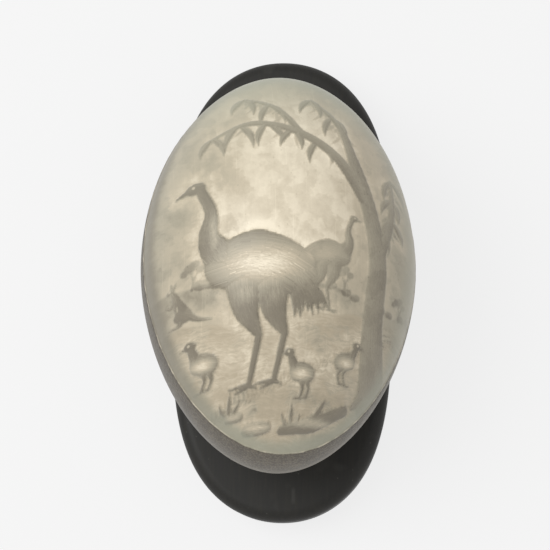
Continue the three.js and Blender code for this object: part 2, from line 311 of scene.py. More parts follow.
def kangaroo():
    return [
        oval((-0.08, 0.25), (0.2, 0.17), 20),
        limb([(-0.06, 0.3), (0.05, 0.5), (0.12, 0.68), (0.18, 0.8)], [0.15, 0.115, 0.075, 0.048]),
        oval((0.235, 0.845), (0.09, 0.05), -22),
        leaf((0.17, 0.86), 108, 0.17, 0.06, 0),
        leaf((0.2, 0.87), 80, 0.16, 0.055, 0),
        limb([(0.12, 0.62), (0.21, 0.49), (0.29, 0.52)], [0.045, 0.032, 0.022]),
        limb([(0.06, 0.22), (-0.02, 0.1), (0.03, 0.035), (0.22, 0.02)], [0.08, 0.05, 0.035, 0.022]),
        limb([(-0.2, 0.2), (-0.42, 0.08), (-0.72, 0.035)], [0.09, 0.052, 0.02]),
    ]


def leaves_of(bough):
    """Pairs of leaves that hang from the outer part of a bough."""
    points, _ = limb(*bough, per_span=12)
    steps = np.linalg.norm(np.diff(points, axis=0), axis=1)
    run = np.concatenate([[0], np.cumsum(steps)])
    pairs = round(run[-1] * (1 - LEAF["bare"]) / LEAF["spacing"])
    leaves = []
    for pair in range(1, pairs + 1):
        along = run[-1] * (LEAF["bare"] + (1 - LEAF["bare"]) * pair / pairs)
        base = [np.interp(along, run, points[:, axis]) for axis in (0, 1)]
        down = -90 + LEAF["sway"] * math.sin(2.4 * pair)
        size = LEAF["length"] * (1 + LEAF["variety"] * math.cos(1.7 * pair))
        for side in (-1, 1):
            leaves.append(leaf(base, down + side * LEAF["spread"], size, LEAF["width"],
                               side * LEAF["bend"]))
    return leaves


def tuft(x, y):
    """Blades of grass that fan out from one spot, the middle ones longest."""
    asides = np.linspace(-0.5, 0.5, BLADE["count"])
    return [leaf((x, y), 90 - BLADE["fan"] * aside, BLADE["length"] * (1 - aside ** 2),
                 BLADE["width"], -BLADE["bend"] * aside) for aside in asides]


def near_figures():
    stones = [oval((stone["x"], stone["y"]), (stone["width"] / 2, stone["height"] / 2), 4)
              for stone in STONES]
    chicks = [part for place in CHICKS for part in placed(chick(), **place)]
    grass = [blade for spot in TUFTS for blade in tuft(*spot)]
    fallen = [limb(*wood) for wood in FALLEN_BOUGH]
    return placed(emu(), **EMU_IN_FRONT) + chicks + stones + fallen + grass


def far_figures():
    tree = [limb(*wood) for wood in (TRUNK, *ROOTS, *BOUGHS)]
    leaves = [blade for bough in BOUGHS for blade in leaves_of(bough)]
    return placed(emu(), **EMU_BEHIND) + placed(kangaroo(), **KANGAROO) + tree + leaves


def ridge(across, line):
    """The height of a hilly line at a place across, for a number or a Term."""
    height, waves = line
    for size, wave, start in waves:
        turn = across * wave + start
        height = height + (turn.sin() if isinstance(turn, Term) else math.sin(turn)) * size
    return height


def gum_in_the_distance(x, y, height):
    """A leaning trunk that forks under a few round clumps of leaves."""
    wood = [limb([(0, 0), (0.04, 0.3), (-0.04, 0.6)], [0.05, 0.04, 0.03]),
            limb([(0.03, 0.32), (0.2, 0.6)], [0.035, 0.02])]
    clumps = [oval((u, v), (size, 0.8 * size)) for u, v, size in
              [(-0.1, 0.78, 0.2), (0.1, 0.9, 0.17), (0.27, 0.7, 0.16), (-0.3, 0.62, 0.14)]]
    return placed(wood + clumps, x=x, y=y, height=height, facing=1)


def scattered(number, start, reach, ratio=GOLDEN):
    """One of a row of values that fill a reach evenly, but in no visible order."""
    return start + reach * ((number * ratio) % 1)


def sprays_of(bough):
    """Small leaves between and beyond the large ones."""
    points, _ = limb(*bough, per_span=12)
    sprays = []
    for number in range(SPRAY["count"]):
        at = scattered(number, SPRAY["bare"], 1 - SPRAY["bare"])
        base = [np.interp(at * (len(points) - 1), np.arange(len(points)), points[:, axis])
                for axis in (0, 1)]
        down = -90 + SPRAY["spread"] * math.sin(2.1 * number)
        size = SPRAY["length"] + SPRAY["variety"] * math.cos(1.3 * number)
        sprays.append(leaf(base, down, size, SPRAY["width"], SPRAY["bend"] * math.cos(number)))
    return sprays


def bushes():
    """Low round bushes along the skyline."""
    middle, reach = BARE_SKYLINE
    row = []
    for number in range(BUSH["count"]):
        x = scattered(number, -0.66, 1.32)
        size = scattered(number, BUSH["size"], BUSH["variety"], GOLDEN ** 2)
        if abs(x - middle) > reach:
            row.append(oval((x, ridge(x, SKYLINE)), (BUSH["flatness"] * size, size)))
    return row


def grass_on_the_plain():
    """Fans of grass, larger towards the front."""
    blades = []
    for number in range(GRASS["count"]):
        x = scattered(number, -0.56, 1.1)
        y = scattered(number, -0.38, -0.46, GOLDEN ** 2)
        size = 0.028 - 0.062 * (y + 0.3)
        for lean in GRASS["leans"]:
            blades.append(leaf((x + 0.0006 * lean, y),
                               90 - lean + GRASS["sway"] * math.sin(number),
                               size * (1 - abs(lean) / 90), GRASS["width"], -0.004 * lean))
    return blades


def faint_figures():
    """What is barely cut: small leaves, far trees on the skyline and grass on the ground."""
    leaves = [blade for bough in BOUGHS for blade in sprays_of(bough)]
    trees = [part for x, height in FAR_TREES
             for part in gum_in_the_distance(x, ridge(x, SKYLINE) - 0.01, height)]
    return leaves + trees + bushes() + grass_on_the_plain()


# Painted highlights and painted shade: pale spots for light on the figures and stones, dark ones
# for their shade and the shadows they cast, and pale patches of ground. Each gives the middle, the
# half sizes and how much, below 0 for darker. A figure's spots are in its own frame, those of the
# ground in the picture's.
EMU_LIGHT = [(-0.03, 0.55, 0.21, 0.09, 1.0), (0.05, 0.43, 0.06, 0.05, 0.35),
             (-0.09, 0.42, 0.05, 0.05, 0.25), (0.2, 0.72, 0.022, 0.1, 0.4)]
CHICK_LIGHT = [(0.03, 0.47, 0.24, 0.12, 0.9)]
KANGAROO_LIGHT = [(-0.1, 0.35, 0.6, 0.55, -0.7), (0.06, 0.42, 0.04, 0.1, 0.75)]
STONE_LIGHT = [(-0.13, -0.785, 0.07, 0.02, 0.6), (-0.24, -0.735, 0.04, 0.015, 0.5),
               (0.14, -0.765, 0.13, 0.018, 0.45)]
GROUND_LIGHT = [
    (0.16, -0.675, 0.30, 0.035, -1.2), (-0.12, -0.735, 0.34, 0.03, -1.0),
    (-0.50, -0.60, 0.16, 0.06, -0.9), (0.38, -0.60, 0.12, 0.07, -0.7),
    (-0.16, -0.655, 0.22, 0.026, -1.0), (-0.39, -0.62, 0.08, 0.014, -0.8),
    (0.07, -0.685, 0.08, 0.014, -0.8), (0.28, -0.61, 0.07, 0.012, -0.7),
    (0.46, -0.68, 0.17, 0.03, -0.9), (0.14, -0.815, 0.2, 0.024, -0.9),
    (-0.17, -0.815, 0.14, 0.018, -0.7), (-0.5, -0.335, 0.12, 0.012, -0.7),
    (0.18, -0.315, 0.14, 0.014, -0.7), (-0.3, -0.5, 0.17, 0.035, 0.8),
    (0.13, -0.52, 0.19, 0.04, 0.8), (0.02, -0.88, 0.24, 0.03, 0.5),
    (-0.03, -0.6, 0.1, 0.02, 0.7), (0.28, -0.4, 0.1, 0.02, 0.5),
]

# The eyes: the figure, the place in its own frame and the size as a share of its height.
EYES = [(EMU_IN_FRONT, (0.292, 0.969), 0.0075), (EMU_BEHIND, (0.29, 0.968), 0.01),
        (KANGAROO, (0.245, 0.862), 0.03), *((place, (0.33, 0.91), 0.03) for place in CHICKS)]


def lit(across, up, spots):
    """How pale or dark some spots paint each point, as painted light and shade."""
    total = np.zeros(across.shape)
    for x, y, half_width, half_height, strength in spots:
        glow = strength * np.exp(-((across - x) / half_width) ** 2 - ((up - y) / half_height) ** 2)
        total = np.where(np.abs(glow) > np.abs(total), glow, total)
    return total


def figure_light(across, up):
    """The painted highlights and shade on each point of the figures and the stones."""
    total = lit(across, up, STONE_LIGHT)
    posed = [(EMU_LIGHT, EMU_IN_FRONT), (EMU_LIGHT, EMU_BEHIND), (KANGAROO_LIGHT, KANGAROO)]
    for spots, pose in posed + [(CHICK_LIGHT, place) for place in CHICKS]:
        u = (across - pose["x"]) / pose["height"] * pose["facing"]
        here = lit(u, (up - pose["y"]) / pose["height"], spots)
        total = np.where(np.abs(here) > np.abs(total), here, total)
    return total


FIELD = 0.12  # how far round the figures distances are kept, as a share of the half length
LIGHT_FROM = np.array([-0.5, 0.86])


def measured(limbs, across, up):
    """The signed distance from the edge of a group of limbs, negative inside, and where
    each point lies on its nearest limb: how far along it, how far from its line towards
    the light, and its half thickness."""
    edge = np.full(across.shape, FIELD)
    lie = np.zeros((len(across), 3))
    for number, (points, halves) in enumerate(limbs):
        margin = halves.max() + FIELD
        low = points.min(axis=0) - margin
        high = points.max(axis=0) + margin
        close = np.flatnonzero((across > low[0]) & (across < high[0])
                               & (up > low[1]) & (up < high[1]))
        spots = np.stack([across[close], up[close]], 1)
        run = 0.37 * number
        for start, end, first, last in zip(points, points[1:], halves, halves[1:]):
            step = end - start
            size = max(np.hypot(*step), 1e-9)
            aside = np.array([-step[1], step[0]]) / size
            aside *= 1 if aside @ LIGHT_FROM > 0 else -1
            t = np.clip((spots - start) @ step / size ** 2, 0, 1)
            half = first + (last - first) * t
            gap = np.linalg.norm(spots - start - t[:, None] * step, axis=1) - half
            closer = gap < edge[close]
            chosen = close[closer]
            edge[chosen] = gap[closer]
            lie[chosen] = np.stack([run + t * size, (spots - start) @ aside, half], 1)[closer]
            run += size
    return edge, lie


def smooth(values, low, high):
    t = np.clip((values - low) / (high - low), 0, 1)
    return t * t * (3 - 2 * t)


class Term:
    """A value socket. Python's operators on it add Math nodes."""

    def __init__(self, graph, socket):
        self.graph = graph
        self.socket = socket

    def math(self, operation, *terms):
        return self.graph.add("ShaderNodeMath", {"operation": operation}, dict(enumerate(terms)))

    def __add__(self, other):
        return self.math("ADD", self, other)

    def __radd__(self, other):
        return self.math("ADD", other, self)

    def __sub__(self, other):
        return self.math("SUBTRACT", self, other)

    def __rsub__(self, other):
        return self.math("SUBTRACT", other, self)

    def __mul__(self, other):
        return self.math("MULTIPLY", self, other)

    def __rmul__(self, other):
        return self.math("MULTIPLY", other, self)

    def __truediv__(self, other):
        return self.math("DIVIDE", self, other)

    def __rtruediv__(self, other):
        return self.math("DIVIDE", other, self)

    def __pow__(self, other):
        return self.math("POWER", self, other)

    def __neg__(self):
        return self.math("MULTIPLY", self, -1)

    def at_least(self, other):
        return self.math("MAXIMUM", self, other)

    def at_most(self, other):
        return self.math("MINIMUM", self, other)

    def sin(self):
        return self.math("SINE", self)

    def cos(self):
        return self.math("COSINE", self)

    def size(self):
        return self.math("ABSOLUTE", self)

    def sign(self):
        return self.math("SIGN", self)

    def step(self, low, high):
        """0 below low, 1 above high, and a soft rise between them."""
        return self.graph.add("ShaderNodeMapRange", {"interpolation_type": "SMOOTHSTEP"},
                              {"Value": self, "From Min": low, "From Max": high})


class Graph:
    """Adds nodes to a tree, each by its type, its settings and its inputs."""

    def __init__(self, tree):
        self.tree = tree

    def node(self, kind, settings=None, inputs=None):
        node = self.tree.nodes.new(kind)
        for name, value in (settings or {}).items():
            if name == "stops":
                self.set_stops(node.color_ramp, value)
            else:
                setattr(node, name, value)
        for key, value in (inputs or {}).items():
            if isinstance(value, Term):
                self.tree.links.new(value.socket, node.inputs[key])
            else:
                node.inputs[key].default_value = value
        return node

    @staticmethod
    def set_stops(ramp, stops):
        while len(ramp.elements) < len(stops):
            ramp.elements.new(1.0)
        for element, (place, shade) in zip(ramp.elements, stops):
            element.position = place
            element.color = (*shade, 1)

    def add(self, kind, settings=None, inputs=None, output=0):
        return Term(self, self.node(kind, settings, inputs).outputs[output])

    def split(self, vector):
        node = self.node("ShaderNodeSeparateXYZ", None, {0: vector})
        return [Term(self, socket) for socket in node.outputs]

    def combine(self, x, y, z):
        return self.add("ShaderNodeCombineXYZ", None, {0: x, 1: y, 2: z})

    def mix(self, factor, first, second):
        """One colour into another."""
        ends = [(*end, 1) if not isinstance(end, Term) else end for end in (first, second)]
        return self.add("ShaderNodeMix", {"data_type": "RGBA"},
                        {0: factor, 6: ends[0], 7: ends[1]}, output=2)


class Finish(Graph):
    """A material on a Principled shader."""

    def __init__(self, name):
        self.material = bpy.data.materials.new(name)
        self.material.use_nodes = True
        super().__init__(self.material.node_tree)
        self.tree.nodes.clear()
        self.shader = self.node("ShaderNodeBsdfPrincipled")
        output = self.node("ShaderNodeOutputMaterial")
        self.tree.links.new(self.shader.outputs[0], output.inputs[0])
        self.place = self.add("ShaderNodeTexCoord", output="Object")

    def set(self, **inputs):
        for name, value in inputs.items():
            socket = self.shader.inputs[name.replace("_", " ").title().replace("Ior", "IOR")]
            if isinstance(value, Term):
                self.tree.links.new(value.socket, socket)
            else:
                socket.default_value = (*value, 1) if isinstance(value, (tuple, list)) else value

    def attribute(self, name, output="Fac"):
        return self.add("ShaderNodeAttribute", {"attribute_name": name}, output=output)

    def stretched(self, vector, scale, turn=(0, 0, 0)):
        return self.add("ShaderNodeMapping", None,
                        {"Vector": vector, "Scale": scale, "Rotation": turn})

    def noise(self, vector, scale, detail=2.0, roughness=0.5):
        return self.add("ShaderNodeTexNoise", None, {
            "Vector": vector, "Scale": scale, "Detail": detail, "Roughness": roughness})

    def grains(self, vector, scale):
        return self.add("ShaderNodeTexVoronoi", None, {"Vector": vector, "Scale": scale})

    def bump(self, height, depth, strength=1.0):
        self.set(normal=self.add("ShaderNodeBump", None, {
            "Height": height, "Distance": depth, "Strength": strength}))


def egg_blank_tree():
    """The uncarved egg as a rule: a grid bent round into a tapered oval of revolution."""
    tree = bpy.data.node_groups.new("egg_blank", "GeometryNodeTree")
    for name, kind in [("Half Length", "Float"), ("Half Width", "Float"),
                       ("Centre Height", "Float"), ("Roundness", "Float"), ("Taper", "Float"),
                       ("Crowding", "Float"), ("Columns", "Int"), ("Rows", "Int"),
                       ("Shell", "Material")]:
        tree.interface.new_socket(name, in_out="INPUT", socket_type="NodeSocket" + kind)
    tree.interface.new_socket("Egg", in_out="OUTPUT", socket_type="NodeSocketGeometry")
    graph = Graph(tree)
    given = {socket.name: Term(graph, socket) for socket in graph.node("NodeGroupInput").outputs
             if socket.name}
    grid = graph.add("GeometryNodeMeshGrid", None, {
        "Size X": 1.0, "Size Y": 1.0,
        "Vertices X": given["Columns"] + 1, "Vertices Y": given["Rows"] + 1})
    x, y, _ = graph.split(graph.add("GeometryNodeInputPosition"))
    around = x * TURN - given["Crowding"] * (x * TURN).sin()
    polar = (y + 0.5) * math.pi
    power = 2 / given["Roundness"]
    along = -(polar.cos().sign() * polar.cos().size() ** power)
    out = polar.sin().at_least(0) ** power * (1 + given["Taper"] * along) * given["Half Width"]
    spot = graph.combine(around.sin() * out, along * given["Half Length"],
                         around.cos() * out + given["Centre Height"])
    bent = graph.add("GeometryNodeSetPosition", None, {"Geometry": grid, "Position": spot})
    closed = graph.add("GeometryNodeMergeByDistance", None, {"Geometry": bent, "Distance": 1e-6})
    shaded = graph.add("GeometryNodeSetShadeSmooth", None, {"Geometry": closed})
    real = graph.add("GeometryNodeRealizeInstances", None, {"Geometry": shaded})
    coloured = graph.add("GeometryNodeSetMaterial", None,
                         {"Geometry": real, "Material": given["Shell"]})
    graph.node("NodeGroupOutput", None, {0: coloured})
    return tree


def grown(name, tree, values):
    """What a tree makes with these named inputs, as a plain mesh object."""
    piece = bpy.data.objects.new(name, bpy.data.meshes.new(name))
    bpy.context.collection.objects.link(piece)
    modifier = piece.modifiers.new(name, "NODES")
    modifier.node_group = tree
    for socket in tree.interface.items_tree:
        if socket.name in values:
            modifier[socket.identifier] = values[socket.name]
    bpy.context.view_layer.update()
    live = piece.evaluated_get(bpy.context.evaluated_depsgraph_get())
    mesh = bpy.data.meshes.new_from_object(live)
    piece.modifiers.remove(modifier)
    piece.data = mesh
    mesh.name = name
    return piece


def panel_frame(egg, carving):
    """The plane of the cut: its middle, and its across, up and outward directions."""
    turn = Euler((-carving.panel_pitch, carving.panel_roll, 0), "XYZ")
    place = Matrix.Translation((0, 0, egg.centre_height + carving.panel_height))
    return place @ turn.to_matrix().to_4x4()


# What the knife leaves, in millimetres, and its waves in radians a half length.
EDGE_STRAY = 0.25  # how far the cut's edge wanders
EDGE_WAVES = (31, 47, 66, 93)
EDGE_BAND = 0.6  # points this near the plane of the cut trace its edge
SOLID_BORDER = 1.0  # how far inside the edge the border is at its full strength
GROUND_STRAY = 0.03  # how far the carved ground wavers
GROUND_WAVES = (23, 37, 52, 71)
MOAT_DEPTH = 0.08  # how much deeper the ground lies beside the birds in front
MOAT_REACH = 2.5
FAR_SHOULDER = 0.1  # how far a far figure's face drops towards its edge
NEAR_SHOULDER = 0.14
SHOULDER_REACH = 0.9
CUT_SLOPE = 0.7  # how far inside its edge the cut reaches its full depth
FARTHEST = 30  # past which the finish needs no distance

# Shares of the egg's outline from above, between which the border begins where there is no cut.
OUTLINE_BORDER = (0.86, 0.975)


def wander(across, up, waves):
    """A slow wavering, as of a hand-held knife, from a few crossed waves."""
    total = np.zeros(across.shape)
    for number, wave in enumerate(waves):
        lean = 1.3 * number + 0.4
        total += np.sin(wave * (across * math.cos(lean) + up * math.sin(lean)) + 2.1 * number)
    return total / len(waves)


def inside_cut(across, up, rim):
    """How far each point lies within the cut's edge, as seen straight on."""
    edge = np.abs(rim) < EDGE_BAND
    bearing = np.arctan2(up, across)
    reach = np.hypot(across, up)
    order = np.argsort(bearing[edge])
    limit = np.interp(bearing, bearing[edge][order], reach[edge][order], period=TURN)
    return limit - reach


def carve(mesh, egg, carving):
    """Cuts the picture into the blank, and leaves what the finish needs as attributes."""
    count = len(mesh.vertices)
    points = np.empty(count * 3, np.float32)
    normals = np.empty(count * 3, np.float32)
    mesh.vertices.foreach_get("co", points)
    mesh.vertex_normals.foreach_get("vector", normals)
    points = points.reshape(-1, 3).astype(float)
    normals = normals.reshape(-1, 3)
    to_panel = np.array(panel_frame(egg, carving).inverted())
    local = points @ to_panel[:3, :3].T + to_panel[:3, 3]
    across = local[:, 0] / egg.half_length - PICTURE_MIDDLE[0]
    up = local[:, 1] / egg.half_length - PICTURE_MIDDLE[1]
    scale = egg.half_length / MM
    near, near_lie = measured(near_figures(), across, up)
    far, far_lie = measured(far_figures(), across, up)
    faint, _ = measured(faint_figures(), across, up)
    near, far, faint, near_lie, far_lie = (
        part * scale for part in (near, far, faint, near_lie, far_lie))
    rim = local[:, 2] / MM + EDGE_STRAY * wander(across, up, EDGE_WAVES)
    along = points[:, 1] / egg.half_length
    reach = np.hypot(points[:, 0] / (egg.half_width * (1 + egg.taper * along)), along)
    inside = inside_cut(across, up, rim) * scale
    border = np.maximum(1 - smooth(inside, SOLID_BORDER, carving.border_width / MM),
                        smooth(reach, *OUTLINE_BORDER))

    ground = carving.ground_depth + (carving.border_depth - carving.ground_depth) * border
    ground += MOAT_DEPTH * MM * np.exp(-np.clip(near, 0, None) / MOAT_REACH) * (1 - border)
    ground += GROUND_STRAY * MM * wander(across, up, GROUND_WAVES)
    ground = np.where(faint < 0, np.minimum(ground, carving.faint_depth), ground)
    far_face = carving.far_depth + FAR_SHOULDER * MM * np.exp(far / SHOULDER_REACH)
    near_face = carving.near_depth + NEAR_SHOULDER * MM * np.exp(near / SHOULDER_REACH)
    depth = np.where(far < 0, np.minimum(ground, far_face), ground)
    depth = np.where(near < 0, np.minimum(ground, near_face), depth)
    depth *= smooth(rim, 0, CUT_SLOPE)
    mesh.vertices.foreach_set("co", (points - normals * depth[:, None]).astype(np.float32).ravel())

    picture = np.stack([across, up, border], 1)
    for name, values in (("picture", picture), ("near_lie", near_lie), ("far_lie", far_lie)):
        mesh.attributes.new(name, "FLOAT_VECTOR", "POINT").data.foreach_set(
            "vector", values.astype(np.float32).ravel())
    for name, values in (("near", near), ("far", far), ("faint", faint), ("rim", rim),
                         ("light", figure_light(across, up)),
                         ("ground_light", lit(across, up, GROUND_LIGHT))):
        mesh.attributes.new(name, "FLOAT", "POINT").data.foreach_set(
            "value", np.clip(values, -FARTHEST, FARTHEST).astype(np.float32))
    mesh.update()


def scaled(shade, factor):
    """A colour made lighter or darker."""
    return tuple(part * factor for part in shade)


def eyes(across, up):
    """1 in the pale dot of each figure's eye."""
    dots = 0
    for pose, (u, v), size in EYES:
        x = pose["x"] + pose["height"] * pose["facing"] * u
        y = pose["y"] + pose["height"] * v
        reach = size * pose["height"]
        gap = ((across - x) ** 2.0 + (up - y) ** 2.0) ** 0.5 / reach
        dots = dots + (1 - gap.step(0.6, 1.3))
    return dots


class CarvedShell(Finish):
    """The egg's finish, worked out from what the carving left in the mesh. A level runs from
    0 in the dark outer layers to 1 in the palest."""

    def __init__(self):
        super().__init__("carved_shell")
        self.near = self.attribute("near")
        self.far = self.attribute("far")
        self.faint = self.attribute("faint")
        self.rim = self.attribute("rim")
        self.light = self.attribute("light")
        self.ground_light = self.attribute("ground_light")
        self.across, self.up, self.border = self.split(self.attribute("picture", "Vector"))
        near_lie = self.attribute("near_lie", "Vector")
        far_lie = self.attribute("far_lie", "Vector")
        _, self.near_aside, self.near_half = self.split(near_lie)
        _, self.far_aside, self.far_half = self.split(far_lie)
        self.plumage = self.strands(near_lie, 1)
        self.bark = self.strands(far_lie, 1.6)
        self.make_textures()
        self.make_masks()

    def strands(self, lie, fine):
        """Strokes that follow the limb which each point lies on, long ones over short ones."""
        long = self.noise(self.stretched(lie, (0.22 * fine, 1.4 * fine, 0.01)), 1, 3, 0.6)
        short = self.noise(self.stretched(lie, (0.8 * fine, 3.2 * fine, 0.01)), 1, 2, 0.6)
        return long * 0.55 + short * 0.6 - 0.575

    def hatching(self, vector, across, up, lean, detail, roughness):
        """Strokes that all lean one way, by how finely they change across and up."""
        stretched = self.stretched(vector, (across, up, 1), (0, 0, lean))
        return self.noise(stretched, 1, detail, roughness)

    def make_textures(self):
        """Clouds, blotches and strokes of the tools. All but the scratches average about 0."""
        picture = self.combine(self.across, self.up, 0.0)
        self.cloud = self.noise(picture, 4.5, 4, 0.62) - 0.5
        self.mottle = self.noise(picture, 26, 4, 0.65) - 0.5
        self.tooth = self.noise(self.place, 2600, 2, 0.6) - 0.5
        drift = self.combine(self.across + self.mottle * 0.05, self.up + self.cloud * 0.12, 0.0)
        self.falling = self.hatching(drift, 48, 8, 0.3, 4, 0.6) - 0.5
        self.lying = self.hatching(drift, 9, 75, 0.05, 4, 0.62) - 0.5
        self.strokes = self.hatching(drift, 22, 120, -0.12, 2, 0.5) - 0.5
        self.blotch = self.noise(drift, 8, 3, 0.55).step(0.46, 0.55) - 0.5
        self.scratch = self.hatching(picture, 150, 2.2, -0.28, 1, 0.5).step(0.66, 0.74)

    def make_masks(self):
        """1 in each kind of figure, on the panel, on the plain below the foreland's line, in
        the shade on the lower right, towards the left and in the eyes."""
        shag = self.plumage * self.near_half.at_most(7.0) * 0.22
        rough_bark = self.bark * self.far_half.at_most(2.0) * 0.2
        self.in_near = 1 - (self.near + shag + self.tooth * 0.5).step(-0.45, 0.45)
        self.in_far = 1 - (self.far + rough_bark + self.tooth * 0.4).step(-0.35, 0.4)
        self.in_faint = 1 - (self.faint + self.mottle * 0.5 + self.tooth * 0.4).step(-0.35, 0.35)
        self.on_panel = (self.rim + self.tooth * 0.5).step(0.0, 0.35)
        self.foreland = ridge(self.across, FORELAND)
        self.plain = 1 - (self.up - self.foreland).step(-0.01, 0.01)
        # Painted shade: darker towards the lower right, away from the light from the upper left.
        self.shade = (self.across * 0.6 - self.up * 0.6).step(-0.1, 0.7)
        self.leftward = (-self.across).step(0.1, 0.65)
        self.eye = eyes(self.across, self.up)

    def ground_level(self):
        """The sky with its glow, the hills, the hatched plain and the pale cuts by figures, with
        painted shadows under the figures, pale patches, painted shade towards the lower right and
        darker ground on the left.
        """
        across, up, foreland, plain = self.across, self.up, self.foreland, self.plain
        glow = 1 - ((across - 0.02) ** 2.0 * 2.6 + (up - 0.3) ** 2.0).step(0.0, 0.42)
        hills = 1 - (up - ridge(across, SKYLINE)).step(-0.008, 0.008)
        depth_of_land = (foreland - up).at_least(0.0)
        halo = 1 - self.near.at_least(0).step(0.3, 6.5)
        halo = halo * (1 + self.mottle * 1.6 + self.falling * 1.0)
        far_halo = 1 - self.far.at_least(0).step(0.2, 3.6)
        level = 0.50 + glow * 0.34 - self.shade * 0.16 + self.cloud * 0.40
        level = level + self.mottle * 0.24 + self.falling * 0.09 + self.blotch * 0.10
        level = level - hills * (1 - plain) * (up - foreland).step(0.0, 0.14) * 0.20
        level = level + plain * (self.lying * 0.50 + self.strokes * 0.50 + 0.10
                                 + depth_of_land * 0.05 - across.size().step(0.12, 0.6) * 0.13)
        # Painted shadows under the figures and pale patches on the ground.
        level = level + self.ground_light * (0.21 + self.lying * 0.3)
        level = level - (-across).step(0.30, 0.68) * 0.16
        level = level + halo * 0.20 + far_halo * 0.10
        return level + self.scratch * 0.07 - self.in_faint * (0.24 + self.mottle * 0.3)

    def far_level(self):
        """The tree and the far animals: bark, painted highlights, painted shading that rounds the
        limbs, a little painted shade towards the lower right and a rib along each leaf.
        """
        # Painted shading: each limb paler on its side towards the light, darker on the other.
        roundness = self.far_aside / self.far_half.at_least(0.3)
        rib = (1 - self.far_aside.size().step(0.04, 0.22)) * (1 - self.far_half.step(1.15, 1.4))
        level = 0.25 - self.shade * 0.05 + self.light * 0.22 + roundness * 0.08
        level = level + self.bark * 0.34 + self.cloud * 0.14 + rib * 0.05
        return level + self.eye * 0.26 + self.blotch * self.far_half.step(1.0, 2.2) * 0.055

    def near_level(self):
        """The birds in front: painted highlights and painted shading that rounds each limb, and
        plumage with pale and dark strokes where the painted highlights fall.
        """
        # Painted shading: each limb paler on its side towards the light, darker on the other; the
        # light attribute adds painted highlights.
        roundness = self.near_aside / self.near_half.at_least(0.3)
        level = 0.10 + self.light * 0.82 + roundness * 0.06
        level = level + self.plumage * (0.30 + self.light * 0.8)
        level = level + self.cloud * 0.12 + self.mottle * 0.10
        level = level + self.plumage.step(0.10, 0.2) * self.light.at_least(0.1) * 0.34
        level = level - (-self.plumage).step(0.12, 0.22) * self.light.at_least(0.0) * 0.26
        return level + self.eye * 0.42

    def layers(self, carving):
        """The colours of the shell's layers, by how far each point is scraped."""
        pores = 1 - self.grains(self.place, 330).step(0.05, 0.11)
        level = self.ground_level()
        level = level + (self.far_level() - level) * self.in_far
        level = level + (self.near_level() - level) * self.in_near
        level = level - pores * 0.12
        return self.add("ShaderNodeValToRGB", {"stops": [
            (0.0, scaled(carving.near_colour, 0.85)), (0.12, carving.near_colour),
            (0.34, carving.far_colour), (0.62, carving.ground_colour), (1.0, carving.pale_colour),
        ]}, {0: level + self.tooth * 0.10})

    def border_shade(self, carving):
        """The border's colour: greener above, greyer on the right and browner on the left."""
        shade = self.mix(self.up.step(-0.7, 0.7), scaled(carving.border_colour, 0.92),
                         scaled(carving.border_colour, 1.06))
        shade = self.mix(self.across.step(0.25, 0.7) * 0.6, shade,
                         scaled(carving.far_colour, 0.95))
        return self.mix(self.leftward, shade, scaled(carving.far_colour, 0.56))

    def carved(self, carving):
        """The panel: its layers, with warm earth below, a green veil above and the border."""
        bare_earth = (self.blotch + self.mottle + self.lying + 0.7).at_most(1.0).at_least(0.0)
        earth = self.plain * (1 - self.in_near) * (1 - self.in_far) * bare_earth
        shade = self.mix(earth * 0.55, self.layers(carving), tuple(carving.earth_colour))
        veil = (self.up * 0.7 - self.across * 0.5).step(0.0, 0.9) * 0.22
        veil = veil + (self.up + self.cloud * 0.3).step(0.55, 1.0) * 0.42
        shade = self.mix(veil, shade, scaled(carving.border_colour, 1.3))
        greened = (self.border + self.cloud * 0.9 + self.mottle * 0.8).step(0.05, 1.1)
        greened = greened * (0.76 + self.leftward * 0.14)
        return self.mix(greened, shade, self.border_shade(carving))

    def outer_skin(self, egg):
        """The uncarved shell: pits and granules, a painted sheen where it is widest, darker on the
        left. Its granules and its patches are given as well."""
        granule = self.grains(self.place, 1500)
        patches = self.noise(self.place, 260, 3)
        rough_skin = (granule * 0.7 + patches * 0.6).step(0.2, 0.9)
        skin = self.mix(1 - rough_skin, tuple(egg.pit_colour), tuple(egg.granule_colour))
        height = self.split(self.place)[2]
        # Painted sheen: a paler band where the egg is widest and turns from view, weaker on the
        # left.
        widest = 1 - ((height - egg.centre_height).size() / MM).step(0.0, 7.0)
        skin = self.mix(widest * (0.5 - self.leftward * 0.35), skin, tuple(egg.sheen_band_colour))
        skin = self.mix(self.leftward * 0.45, skin, tuple(egg.pit_colour))
        return skin, rough_skin, patches

    def tooling(self):
        """The height of the strokes that the tools leave on the panel."""
        return (self.lying * self.plain * 0.6 + self.plumage * self.in_near * 0.9
                + self.bark * self.in_far * 0.5 + self.mottle * 0.5 + self.tooth * 0.25)


def shell_finish(egg, carving):
    """Carved layers from dark outer shell to pale ground, and the granular shell below."""
    finish = CarvedShell()
    skin, rough_skin, patches = finish.outer_skin(egg)
    shade = finish.mix(finish.on_panel, skin, finish.carved(carving))
    # Painted highlight: a broken pale line along the step at the cut's edge.
    cut_line = 1 - (finish.rim - 0.3).size().step(0.05, 0.35)
    cut_line = cut_line * patches.step(0.4, 0.7) * 0.5
    smoother = carving.carved_roughness - egg.shell_roughness
    finish.set(
        base_color=finish.mix(cut_line, shade, tuple(carving.pale_colour)),
        roughness=egg.shell_roughness + smoother * finish.on_panel + finish.mottle * 0.12,
        ior=1.5,
        sheen_weight=egg.bloom,
        sheen_roughness=egg.bloom_roughness,
    )
    relief = finish.tooling() * finish.on_panel - rough_skin * (1 - finish.on_panel) * 1.4
    finish.bump(relief, 0.12 * MM, 0.6)
    return finish.material


